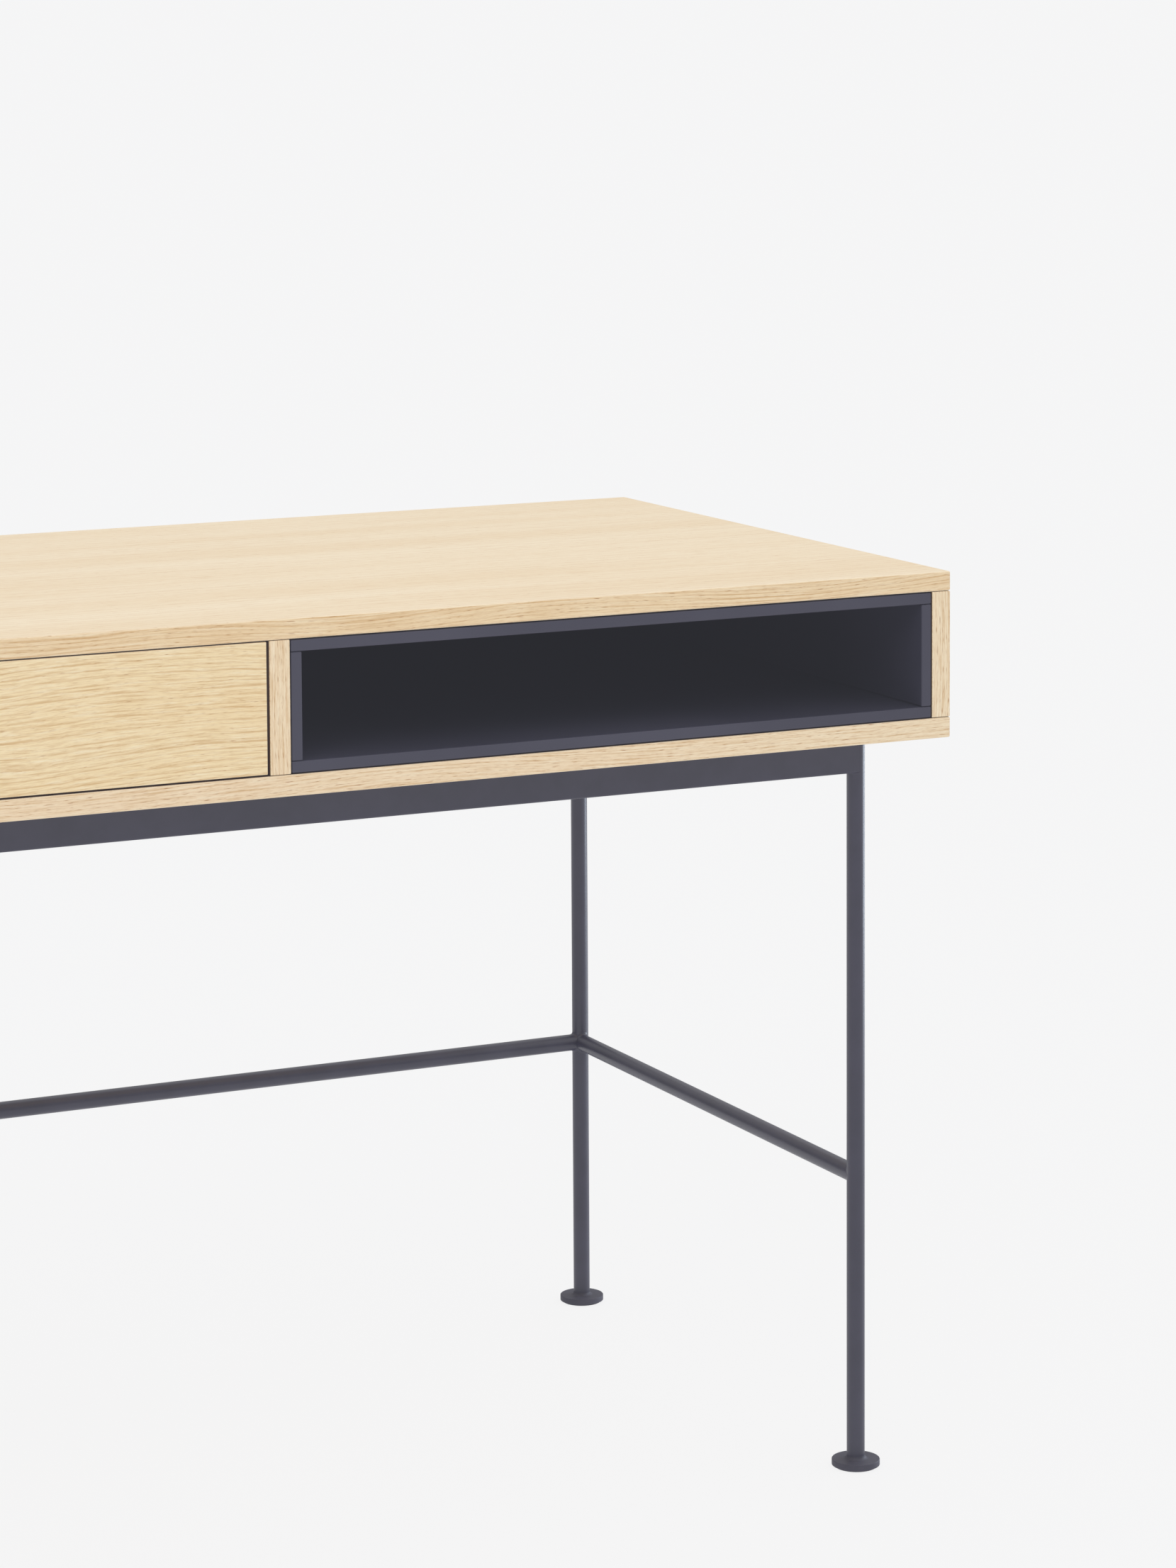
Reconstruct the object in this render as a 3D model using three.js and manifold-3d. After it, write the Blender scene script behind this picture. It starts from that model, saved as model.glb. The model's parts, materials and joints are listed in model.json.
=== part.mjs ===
// Writing desk: an oak-veneered case with two flush push-to-open drawers and a lacquered open
// niche, carried on a welded frame of thin steel tube. Millimetres, +Z up, front towards -Y,
// origin on the floor under the middle of the top.
import * as THREE from 'three';
import { mergeVertices } from 'three/addons/utils/BufferGeometryUtils.js';
import Module from 'manifold-3d';

// Overall size
const LENGTH = 1400;
const DEPTH = 600;
const HEIGHT = 750;

// Case boards
const TOP_BOARD = 16;
const BOARD = 17; // bottom, sides, dividers and drawer fronts
const BACK_BOARD = 10;
const BACK_SETBACK = 1; // the back board stands this far inside the rear edges
const SIDE_SETBACK = 0.25; // the sides stand this far inside the ends of top and bottom
const OPENING_HEIGHT = 104; // clear height between bottom and top board
const NICHE_WIDTH = 563; // clear width between niche divider and right side
const SEAM = 0.3; // glue line or weld line between two pieces that meet

// Lacquered box inside the niche
const INSERT_BOARD = 9;
const INSERT_BACK = 6;
const INSERT_GAP = 0.8; // shadow gap round the box

// Drawers
const DRAWER_GAP = 2.2; // at each end of a drawer front
const DRAWER_BOTTOM_GAP = 1.4;
const DRAWER_TOP_GAP = 0.8;
const DRAWER_WALL = 12;
const DRAWER_FLOOR = 5;
const DRAWER_CLEAR_BELOW = 12; // from the bottom board to the drawer's side
const DRAWER_CLEAR_ABOVE = 15;
const GROOVE_DEPTH = 6;
const GROOVE_RISE = 9; // lower edge of a drawer side to its groove
const GROOVE_CLEARANCE = 0.3; // round the drawer floor in its grooves
const SPACE_BEHIND_DRAWER = 72; // for the push latch

// Ball-bearing slides, one on each side of a drawer
const SLIDE_WIDTH = 12.7; // case member's back to drawer member's back
const SLIDE_HEIGHT = 35;
const SLIDE_METAL = 1.2;
const SLIDE_RACE = 1.6; // ball gap between two members
const SLIDE_SETBACK = 3; // behind the drawer front
const SLIDE_LIP = 3.4; // how far a member's flanges stop short of the next member's back

// Push latches behind the drawers
const LATCH_SIZE = 16;
const LATCH_LENGTH = 58;
const LATCH_FLANGE = [34, 3]; // width and thickness of the screw flange
const PLUNGER_DIAMETER = 8;
const PLUNGER_CLEARANCE = 0.3; // round the plunger in its bore
const PLUNGER_INSIDE = 30; // length of stem inside the housing
const PLUNGER_TRAVEL = 3;
const PLUNGER_TOUCH = 0.4; // from the plunger's tip to the closed drawer

// Steel frame
const TUBE_DIAMETER = 15; // legs and stretchers
const TUBE_WALL = 1.5;
const RAIL_HEIGHT = 28.5; // rails are rectangular tube as wide as a leg
const LEG_INSET_SIDE = 67.5; // leg's axis to the end of the top
const LEG_INSET_FRONT = 37.7; // leg's axis to the front or rear edge of the top
const STRETCHER_HEIGHT = 247; // axis to the floor
const LUG = [26, 22, 3]; // reach, width and thickness of a welded screw lug
const LUG_HOLE_DIAMETER = 5.5;
const FOOT_DIAMETER = 40;
const FOOT_THICKNESS = 5;
const PAD_DIAMETER = 36;
const PAD_THICKNESS = 1;
const ROUND_SIDES = 32;

// Heights and faces that follow
const topUnderside = HEIGHT - TOP_BOARD;
const bottomUpperFace = topUnderside - OPENING_HEIGHT;
const bottomUnderside = bottomUpperFace - BOARD;
const front = -DEPTH / 2;
const rear = DEPTH / 2;
const sideOuter = LENGTH / 2 - SIDE_SETBACK;
const sideInner = sideOuter - BOARD;
const backInner = rear - BACK_SETBACK - BACK_BOARD;
const nicheLeft = sideInner - NICHE_WIDTH;
const bayWidth = (nicheLeft + sideInner - 2 * BOARD) / 2;
const bays = {
  left: [-sideInner, -sideInner + bayWidth],
  centre: [-sideInner + bayWidth + BOARD, nicheLeft - BOARD],
};
const drawerBoxFront = front + BOARD;
const drawerBoxRear = backInner - SPACE_BEHIND_DRAWER;
const drawerSideLow = bottomUpperFace + DRAWER_CLEAR_BELOW;
const drawerSideHigh = topUnderside - DRAWER_CLEAR_ABOVE;
const floorLow = drawerSideLow + GROOVE_RISE + GROOVE_CLEARANCE;

const wasm = await Module();
wasm.setup();

// Materials: every mesh gets one of its own
const oak = () => new THREE.MeshStandardMaterial({ color: 0xe6cfab, roughness: 0.55 });
const birch = () => new THREE.MeshStandardMaterial({ color: 0xe3d3b4, roughness: 0.6 });
const lacquer = () => new THREE.MeshStandardMaterial({ color: 0x4b4b54, roughness: 0.5 });
const coatedSteel = () => new THREE.MeshStandardMaterial({ color: 0x52505a, roughness: 0.45, metalness: 0.2 });
const zincSteel = () => new THREE.MeshStandardMaterial({ color: 0xb8bcc0, roughness: 0.35, metalness: 0.9 });
const greyPlastic = () => new THREE.MeshStandardMaterial({ color: 0x8b8e92, roughness: 0.6 });
const whitePlastic = () => new THREE.MeshStandardMaterial({ color: 0xe8e8e6, roughness: 0.5 });
const felt = () => new THREE.MeshStandardMaterial({ color: 0x3a3a3e, roughness: 0.95 });

const group = new THREE.Group();

// Adds one named piece to a parent, at a place and turned about Z.
function place(parent, name, geometry, material, position = [0, 0, 0], turn = 0) {
  const mesh = new THREE.Mesh(geometry, material);
  mesh.name = name;
  mesh.position.set(...position);
  mesh.rotation.z = turn;
  parent.add(mesh);
  return mesh;
}

// A rectangular board between two limits along each axis.
function board(name, material, x, y, z) {
  const size = [x, y, z].map(([low, high]) => high - low);
  const centre = [x, y, z].map(([low, high]) => (low + high) / 2);
  return place(group, name, new THREE.BoxGeometry(...size), material, centre);
}

// A closed three.js geometry as a solid that can be joined and cut.
function solid(geometry) {
  const bare = geometry.clone();
  bare.deleteAttribute('normal');
  bare.deleteAttribute('uv');
  const merged = mergeVertices(bare, 1e-4);
  return new wasm.Manifold(new wasm.Mesh({
    numProp: 3,
    vertProperties: merged.attributes.position.array,
    triVerts: new Uint32Array(merged.index.array),
  }));
}

function geometryOf(body) {
  const mesh = body.getMesh();
  const geometry = new THREE.BufferGeometry();
  geometry.setAttribute('position', new THREE.BufferAttribute(mesh.vertProperties, 3));
  geometry.setIndex(new THREE.BufferAttribute(mesh.triVerts, 1));
  geometry.computeVertexNormals();
  return geometry;
}

function outline(points) {
  return new THREE.Shape(points.map(([x, y]) => new THREE.Vector2(x, y)));
}

// An outline in plan raised between two heights.
function prism(points, low, high) {
  const geometry = new THREE.ExtrudeGeometry(outline(points), { depth: high - low, bevelEnabled: false });
  return geometry.translate(0, 0, low);
}

// An outline of [x, z] points run along Y between two limits.
function profileAlongY(points, y0, y1) {
  const geometry = new THREE.ExtrudeGeometry(outline(points), { depth: y1 - y0, bevelEnabled: false });
  return geometry.rotateX(Math.PI / 2).translate(0, y1, 0);
}

// A round tube standing on Z between two heights, open at both ends.
function standingTube(radius, wall, low, high) {
  const ring = [[radius, low], [radius, high], [radius - wall, high], [radius - wall, low], [radius, low]];
  const points = ring.map(([r, z]) => new THREE.Vector2(r, z));
  return new THREE.LatheGeometry(points, ROUND_SIDES).rotateX(Math.PI / 2);
}

function standingCylinder(radius, low, high, sides = ROUND_SIDES) {
  const geometry = new THREE.CylinderGeometry(radius, radius, high - low, sides);
  return geometry.rotateX(Math.PI / 2).translate(0, 0, (low + high) / 2);
}

// ---- Case ----

function buildCase() {
  const wholeLength = [-LENGTH / 2, LENGTH / 2];
  const wholeDepth = [front, rear];
  board('top_panel', oak(), wholeLength, wholeDepth, [topUnderside, HEIGHT]);
  board('bottom_panel', oak(), wholeLength, wholeDepth, [bottomUnderside, bottomUpperFace]);

  const between = [bottomUpperFace + SEAM, topUnderside - SEAM];
  board('left_side_panel', oak(), [-sideOuter, -sideInner], wholeDepth, between);
  board('right_side_panel', oak(), [sideInner, sideOuter], wholeDepth, between);
  const dividerDepth = [front, backInner - SEAM];
  board('drawer_divider', oak(), [bays.left[1], bays.centre[0]], dividerDepth, between);
  board('niche_divider', oak(), [bays.centre[1], nicheLeft], dividerDepth, between);
  board('back_panel', oak(), [-sideInner + SEAM, sideInner - SEAM], [backInner, backInner + BACK_BOARD], between);
}

function buildNicheInsert() {
  const x = [nicheLeft + INSERT_GAP, sideInner - INSERT_GAP];
  const z = [bottomUpperFace + INSERT_GAP, topUnderside - INSERT_GAP];
  const insertRear = backInner - INSERT_GAP;
  const y = [front, insertRear - INSERT_BACK - SEAM];
  const upright = [z[0] + INSERT_BOARD + SEAM, z[1] - INSERT_BOARD - SEAM];
  board('niche_box_top', lacquer(), x, y, [z[1] - INSERT_BOARD, z[1]]);
  board('niche_box_bottom', lacquer(), x, y, [z[0], z[0] + INSERT_BOARD]);
  board('niche_box_left', lacquer(), [x[0], x[0] + INSERT_BOARD], y, upright);
  board('niche_box_right', lacquer(), [x[1] - INSERT_BOARD, x[1]], y, upright);
  board('niche_box_back', lacquer(), x, [insertRear - INSERT_BACK, insertRear], z);
}

// ---- Drawers ----

// A drawer side with a groove for the floor in its +X face.
function groovedSide() {
  const t = DRAWER_WALL;
  const deep = t - GROOVE_DEPTH;
  const grooveLow = floorLow - GROOVE_CLEARANCE;
  const grooveHigh = floorLow + DRAWER_FLOOR + GROOVE_CLEARANCE;
  const points = [
    [0, drawerSideLow], [t, drawerSideLow], [t, grooveLow], [deep, grooveLow],
    [deep, grooveHigh], [t, grooveHigh], [t, drawerSideHigh], [0, drawerSideHigh],
  ].map(([x, z]) => [x - t / 2, z]);
  return profileAlongY(points, drawerBoxFront + SEAM, drawerBoxRear);
}

// A drawer front with a stopped groove for the floor in its inner face.
function groovedFront(x, z, groove) {
  const plate = new THREE.BoxGeometry(x[1] - x[0], BOARD, z[1] - z[0]);
  plate.translate((x[0] + x[1]) / 2, front + BOARD / 2, (z[0] + z[1]) / 2);
  const height = DRAWER_FLOOR + 2 * GROOVE_CLEARANCE;
  const cutter = new THREE.BoxGeometry(groove[1] - groove[0], 2 * GROOVE_DEPTH, height);
  cutter.translate((groove[0] + groove[1]) / 2, drawerBoxFront, floorLow + DRAWER_FLOOR / 2);
  return geometryOf(solid(plate).subtract(solid(cutter)));
}

function buildDrawer(bay, [wallLeft, wallRight]) {
  const boxLeft = wallLeft + SLIDE_WIDTH + SEAM;
  const boxRight = wallRight - SLIDE_WIDTH - SEAM;
  const insideLeft = boxLeft + DRAWER_WALL;
  const insideRight = boxRight - DRAWER_WALL;

  const frontX = [wallLeft + DRAWER_GAP, wallRight - DRAWER_GAP];
  const frontZ = [bottomUpperFace + DRAWER_BOTTOM_GAP, topUnderside - DRAWER_TOP_GAP];
  const grooveX = [insideLeft - GROOVE_DEPTH, insideRight + GROOVE_DEPTH];
  place(group, `${bay}_drawer_front`, groovedFront(frontX, frontZ, grooveX), oak());

  place(group, `${bay}_drawer_left_side`, groovedSide(), birch(), [boxLeft + DRAWER_WALL / 2, 0, 0]);
  const mirrored = groovedSide().translate(0, -(drawerBoxFront + SEAM + drawerBoxRear) / 2, 0);
  const middle = [boxRight - DRAWER_WALL / 2, (drawerBoxFront + SEAM + drawerBoxRear) / 2, 0];
  place(group, `${bay}_drawer_right_side`, mirrored, birch(), middle, Math.PI);

  const floorX = [grooveX[0] + GROOVE_CLEARANCE, grooveX[1] - GROOVE_CLEARANCE];
  const floorY = [drawerBoxFront - GROOVE_DEPTH + GROOVE_CLEARANCE, drawerBoxRear];
  const floorTop = floorLow + DRAWER_FLOOR;
  board(`${bay}_drawer_floor`, birch(), floorX, floorY, [floorLow, floorTop]);
  const backX = [insideLeft + SEAM, insideRight - SEAM];
  const backY = [drawerBoxRear - DRAWER_WALL, drawerBoxRear];
  board(`${bay}_drawer_back`, birch(), backX, backY, [floorTop + SEAM, drawerSideHigh]);
}

// ---- Slides ----

// Section of one slide member: a channel from its back at x = back to its lips at x = lip.
function channel(back, lip, height) {
  const inwards = Math.sign(lip - back) * SLIDE_METAL;
  const half = height / 2;
  return [
    [back, -half], [lip, -half], [lip, -half + SLIDE_METAL], [back + inwards, -half + SLIDE_METAL],
    [back + inwards, half - SLIDE_METAL], [lip, half - SLIDE_METAL], [lip, half], [back, half],
  ];
}

function buildSlide(bay, side, wall, direction) {
  const step = 2 * (SLIDE_METAL + SLIDE_RACE);
  const sections = {
    case_member: channel(0, SLIDE_WIDTH - SLIDE_LIP, SLIDE_HEIGHT),
    middle_member: channel(SLIDE_METAL + 1, SLIDE_WIDTH - SLIDE_METAL - 1, SLIDE_HEIGHT - step),
    drawer_member: channel(SLIDE_WIDTH, 2 * SLIDE_METAL + 2, SLIDE_HEIGHT - 2 * step),
  };
  const height = (drawerSideLow + drawerSideHigh) / 2;
  for (const [member, section] of Object.entries(sections)) {
    const seat = member === 'case_member' ? SEAM : 0;
    const points = section.map(([x, z]) => [wall + direction * Math.max(x, seat), height + z]);
    const run = direction > 0 ? points : points.reverse();
    const geometry = profileAlongY(run, drawerBoxFront + SLIDE_SETBACK, drawerBoxRear);
    place(group, `${bay}_drawer_${side}_slide_${member}`, geometry, zincSteel());
  }
}

// ---- Push latches ----

// A housing screwed to the back board, with a blind bore that opens towards the drawer.
function latchHousing() {
  const body = new THREE.BoxGeometry(LATCH_SIZE, LATCH_LENGTH, LATCH_SIZE).translate(0, -LATCH_LENGTH / 2, 0);
  const [flangeWidth, flangeThickness] = LATCH_FLANGE;
  const flange = new THREE.BoxGeometry(flangeWidth, flangeThickness, LATCH_SIZE);
  flange.translate(0, -flangeThickness / 2, 0);
  const boreRadius = PLUNGER_DIAMETER / 2 + PLUNGER_CLEARANCE;
  const boreDepth = PLUNGER_INSIDE + PLUNGER_TRAVEL + 2;
  const bore = new THREE.CylinderGeometry(boreRadius, boreRadius, 2 * boreDepth, ROUND_SIDES);
  bore.translate(0, -LATCH_LENGTH, 0);
  return geometryOf(solid(body).add(solid(flange)).subtract(solid(bore)));
}

// A stem with a domed tip at its -Y end; the tip's highest point is the origin.
function latchPlunger(length) {
  const radius = PLUNGER_DIAMETER / 2;
  const dome = 1.5;
  const points = [new THREE.Vector2(0, 0)];
  for (let step = 1; step <= 6; step += 1) {
    const angle = (step / 6) * (Math.PI / 2);
    points.push(new THREE.Vector2(radius * Math.sin(angle), dome * (1 - Math.cos(angle))));
  }
  points.push(new THREE.Vector2(radius, length), new THREE.Vector2(0, length));
  return new THREE.LatheGeometry(points, ROUND_SIDES);
}

function buildLatch(bay, [wallLeft, wallRight]) {
  const x = (wallLeft + wallRight) / 2;
  const z = (floorLow + DRAWER_FLOOR + drawerSideHigh) / 2;
  const housingRear = backInner - SEAM;
  place(group, `${bay}_latch_housing`, latchHousing(), greyPlastic(), [x, housingRear, z]);
  const tip = drawerBoxRear + PLUNGER_TOUCH;
  const length = housingRear - LATCH_LENGTH + PLUNGER_INSIDE - tip;
  place(group, `${bay}_latch_plunger`, latchPlunger(length), whitePlastic(), [x, tip, z]);
}

// ---- Steel frame ----

const legX = LENGTH / 2 - LEG_INSET_SIDE;
const legY = DEPTH / 2 - LEG_INSET_FRONT;
const legRadius = TUBE_DIAMETER / 2;
const legFoot = PAD_THICKNESS + SEAM + FOOT_THICKNESS;
const frameTop = bottomUnderside - SEAM;

// Plan of a bar between two leg axes, its outer face towards -Y, mitred at the inner corners
// where another bar meets the same leg.
function barPlan(span, mitredLeft, mitredRight) {
  const r = legRadius;
  const left = -span / 2;
  const right = span / 2;
  const plan = [[left, -r], [right, -r]];
  if (mitredRight) plan.push([right, -SEAM], [right - r - SEAM, r]);
  else plan.push([right, r]);
  if (mitredLeft) plan.push([left + r + SEAM, r], [left, -SEAM]);
  else plan.push([left, r]);
  return plan;
}

// Takes the round seats of the two legs out of a bar's ends.
function copeToLegs(bar, span, low, high) {
  let coped = bar;
  for (const end of [-1, 1]) {
    const seat = standingCylinder(legRadius + SEAM, low - 1, high + 1).translate(end * span / 2, 0, 0);
    coped = coped.subtract(solid(seat));
  }
  return coped;
}

// A rectangular tube under the case, with flat screw lugs welded to its inner face.
function railGeometry(span, lugPlaces) {
  const bore = TUBE_DIAMETER - 2 * TUBE_WALL;
  const hollow = new THREE.BoxGeometry(span, bore, RAIL_HEIGHT - 2 * TUBE_WALL);
  hollow.translate(0, 0, -RAIL_HEIGHT / 2);
  let rail = solid(prism(barPlan(span, true, true), -RAIL_HEIGHT, 0)).subtract(solid(hollow));
  for (const x of lugPlaces) {
    const [reach, width, thickness] = LUG;
    const root = legRadius - TUBE_WALL / 2;
    const lug = new THREE.BoxGeometry(width, legRadius + reach - root, thickness);
    lug.translate(x, (root + legRadius + reach) / 2, -thickness / 2);
    const hole = standingCylinder(LUG_HOLE_DIAMETER / 2, -2 * thickness, thickness);
    hole.translate(x, legRadius + reach - width / 2, 0);
    rail = rail.add(solid(lug)).subtract(solid(hole));
  }
  return geometryOf(copeToLegs(rail, span, -RAIL_HEIGHT, 0));
}

// A round tube between two legs. Its inner side is mitred where it meets the next stretcher.
function stretcherGeometry(span, mitredLeft, mitredRight) {
  const ring = new THREE.Shape().absarc(0, 0, legRadius, 0, 2 * Math.PI);
  ring.holes.push(new THREE.Path().absarc(0, 0, legRadius - TUBE_WALL, 0, 2 * Math.PI, true));
  const settings = { depth: span, bevelEnabled: false, curveSegments: ROUND_SIDES / 2 };
  const tube = new THREE.ExtrudeGeometry(ring, settings).rotateY(Math.PI / 2).translate(-span / 2, 0, 0);
  const envelope = prism(barPlan(span, mitredLeft, mitredRight), -TUBE_DIAMETER, TUBE_DIAMETER);
  return geometryOf(copeToLegs(solid(tube).intersect(solid(envelope)), span, -TUBE_DIAMETER, TUBE_DIAMETER));
}

function buildFrame() {
  const acrossSpan = 2 * legX;
  const alongSpan = 2 * legY;
  const longLugs = [-acrossSpan / 3, 0, acrossSpan / 3];
  const quarter = Math.PI / 2;
  place(group, 'front_rail', railGeometry(acrossSpan, longLugs), coatedSteel(), [0, -legY, frameTop]);
  place(group, 'rear_rail', railGeometry(acrossSpan, longLugs), coatedSteel(), [0, legY, frameTop], Math.PI);
  place(group, 'right_rail', railGeometry(alongSpan, [0]), coatedSteel(), [legX, 0, frameTop], quarter);
  place(group, 'left_rail', railGeometry(alongSpan, [0]), coatedSteel(), [-legX, 0, frameTop], -quarter);

  const z = STRETCHER_HEIGHT;
  const rearBar = stretcherGeometry(acrossSpan, true, true);
  place(group, 'rear_stretcher', rearBar, coatedSteel(), [0, legY, z], Math.PI);
  const rightBar = stretcherGeometry(alongSpan, false, true);
  place(group, 'right_stretcher', rightBar, coatedSteel(), [legX, 0, z], quarter);
  const leftBar = stretcherGeometry(alongSpan, true, false);
  place(group, 'left_stretcher', leftBar, coatedSteel(), [-legX, 0, z], -quarter);

  const corners = {
    front_left: [-legX, -legY], front_right: [legX, -legY],
    rear_left: [-legX, legY], rear_right: [legX, legY],
  };
  for (const [corner, [x, y]] of Object.entries(corners)) {
    const leg = standingTube(legRadius, TUBE_WALL, legFoot + SEAM, frameTop);
    place(group, `${corner}_leg`, leg, coatedSteel(), [x, y, 0]);
    const foot = standingCylinder(FOOT_DIAMETER / 2, PAD_THICKNESS + SEAM, legFoot, 48);
    place(group, `${corner}_foot`, foot, coatedSteel(), [x, y, 0]);
    const pad = standingCylinder(PAD_DIAMETER / 2, 0, PAD_THICKNESS, 48);
    place(group, `${corner}_pad`, pad, felt(), [x, y, 0]);
  }
}

buildCase();
buildNicheInsert();
for (const [bay, walls] of Object.entries(bays)) {
  buildDrawer(bay, walls);
  buildSlide(bay, 'left', walls[0], 1);
  buildSlide(bay, 'right', walls[1], -1);
  buildLatch(bay, walls);
}
buildFrame();

export default group;
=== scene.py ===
"""Writing desk: an oak-veneered case with two flush drawers and a slate-lacquered open niche,
on a welded frame of slim round tube. Everything is in metres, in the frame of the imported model."""

import json
import math

import bmesh
import bpy
from mathutils import Matrix, Vector

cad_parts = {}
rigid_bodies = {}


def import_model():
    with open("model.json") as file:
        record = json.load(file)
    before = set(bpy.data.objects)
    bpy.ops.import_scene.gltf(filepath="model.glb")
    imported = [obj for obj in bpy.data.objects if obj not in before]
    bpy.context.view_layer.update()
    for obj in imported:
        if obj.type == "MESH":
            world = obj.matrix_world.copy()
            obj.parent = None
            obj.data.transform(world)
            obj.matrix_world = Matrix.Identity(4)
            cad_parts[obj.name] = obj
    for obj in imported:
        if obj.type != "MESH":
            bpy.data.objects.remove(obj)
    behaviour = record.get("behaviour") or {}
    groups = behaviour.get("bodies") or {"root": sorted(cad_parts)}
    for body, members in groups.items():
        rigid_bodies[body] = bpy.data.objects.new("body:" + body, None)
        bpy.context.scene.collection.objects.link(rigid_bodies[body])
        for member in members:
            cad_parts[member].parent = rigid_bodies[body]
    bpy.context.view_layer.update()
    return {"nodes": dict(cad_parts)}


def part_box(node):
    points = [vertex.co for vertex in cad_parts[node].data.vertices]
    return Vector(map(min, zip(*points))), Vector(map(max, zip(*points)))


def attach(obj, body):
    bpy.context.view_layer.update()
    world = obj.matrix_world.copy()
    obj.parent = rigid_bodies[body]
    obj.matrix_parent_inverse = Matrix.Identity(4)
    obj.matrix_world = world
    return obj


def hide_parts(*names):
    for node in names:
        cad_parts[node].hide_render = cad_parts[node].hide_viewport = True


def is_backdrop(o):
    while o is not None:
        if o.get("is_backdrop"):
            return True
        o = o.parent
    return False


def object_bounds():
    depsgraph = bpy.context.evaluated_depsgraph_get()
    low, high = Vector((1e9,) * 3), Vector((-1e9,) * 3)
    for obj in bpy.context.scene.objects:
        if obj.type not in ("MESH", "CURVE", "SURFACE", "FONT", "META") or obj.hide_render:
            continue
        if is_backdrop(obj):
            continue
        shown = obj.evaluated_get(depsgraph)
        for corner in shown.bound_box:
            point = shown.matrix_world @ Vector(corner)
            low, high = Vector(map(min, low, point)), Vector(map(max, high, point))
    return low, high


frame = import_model()
MM = 0.001
scene = bpy.context.scene

# ---------------------------------------------------------------------------------------------
# Case boards. Chipboard cores with pale oak veneer on both faces and oak bands glued on the
# edges, matt-lacquered. The grain of every face and band runs along its longer side, all arrises
# are sanded round, and the sides that face the bays are painted dark brown as painted shade for the
# gaps and bays.
# ---------------------------------------------------------------------------------------------


class Wire:
    """A shader socket in an expression: every operator adds a Math node."""

    def __init__(self, finish, socket):
        self.finish = finish
        self.socket = socket

    def math(self, operation, *others):
        return self.finish.node("ShaderNodeMath", {"operation": operation}, (self, *others))

    def __add__(self, other):
        return self.math("ADD", other)

    def __sub__(self, other):
        return self.math("SUBTRACT", other)

    def __mul__(self, other):
        return self.math("MULTIPLY", other)

    def __truediv__(self, other):
        return self.math("DIVIDE", other)

    def __rsub__(self, other):
        return self.finish.node("ShaderNodeMath", {"operation": "SUBTRACT"}, (other, self))

    __radd__ = __add__
    __rmul__ = __mul__


class Finish:
    """The node tree of a new material, or of an owner that exists, around its one shader."""

    def __init__(self, name, owner=None, shader="Principled BSDF", **constants):
        self.material = owner or bpy.data.materials.new(name)
        self.material.use_nodes = True
        self.tree = self.material.node_tree
        self.surface = self.tree.nodes[shader]
        self.set(**constants)

    def set(self, **inputs):
        """Values or wires for the shader's own sockets, by name with _ for a space."""
        for name, value in inputs.items():
            self.feed(self.surface.inputs[name.replace("_", " ")], value)

    def feed(self, socket, value):
        if isinstance(value, Wire):
            self.tree.links.new(value.socket, socket)
        else:
            socket.default_value = value

    def node(self, kind, settings=None, inputs=(), output=0):
        """Any node: its settings first, then the values or wires of its sockets."""
        node = self.tree.nodes.new(kind)
        for name, value in (settings or {}).items():
            setattr(node, name, value)
        named = inputs.items() if isinstance(inputs, dict) else enumerate(inputs)
        for key, value in named:
            self.feed(node.inputs[key], value)
        return Wire(self, node.outputs[output])

    def place(self):
        return self.node("ShaderNodeTexCoord", output=3)

    def along_grain(self):
        return self.node("ShaderNodeUVMap", {"uv_map": "grain"})

    def stretched(self, vector, scale, shift=(0, 0, 0)):
        inputs = {"Vector": vector, "Scale": scale, "Location": shift}
        return self.node("ShaderNodeMapping", None, inputs)

    def noise(self, vector, scale, detail=2.0, roughness=0.5, shift=(0, 0, 0)):
        """Noise from 0 to 1, as many features a metre along each axis as scale says."""
        inputs = {"Vector": self.stretched(vector, scale, shift), "Scale": 1.0,
                  "Detail": detail, "Roughness": roughness}
        return self.node("ShaderNodeTexNoise", None, inputs)

    def step(self, value, low, high, to_low=0.0, to_high=1.0):
        """A smooth rise from to_low to to_high as value goes from low to high."""
        settings = {"interpolation_type": "SMOOTHSTEP"}
        return self.node("ShaderNodeMapRange", settings, (value, low, high, to_low, to_high))

    def mix(self, share, first, second):
        settings = {"data_type": "RGBA"}
        return self.node("ShaderNodeMix", settings, {0: share, 6: first, 7: second}, output=2)

    def bump(self, height, depth):
        """Relief of that depth in metres where height goes from 0 to 1."""
        inputs = {"Height": height, "Distance": depth, "Strength": 1.0}
        return self.node("ShaderNodeBump", None, inputs)


def srgb(red, green, blue):
    """A colour as painters count it, 0 to 255, in the linear light that shaders use."""
    def linear(channel):
        share = channel / 255
        return share / 12.92 if share <= 0.04045 else ((share + 0.055) / 1.055) ** 2.4
    return (linear(red), linear(green), linear(blue), 1.0)


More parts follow.
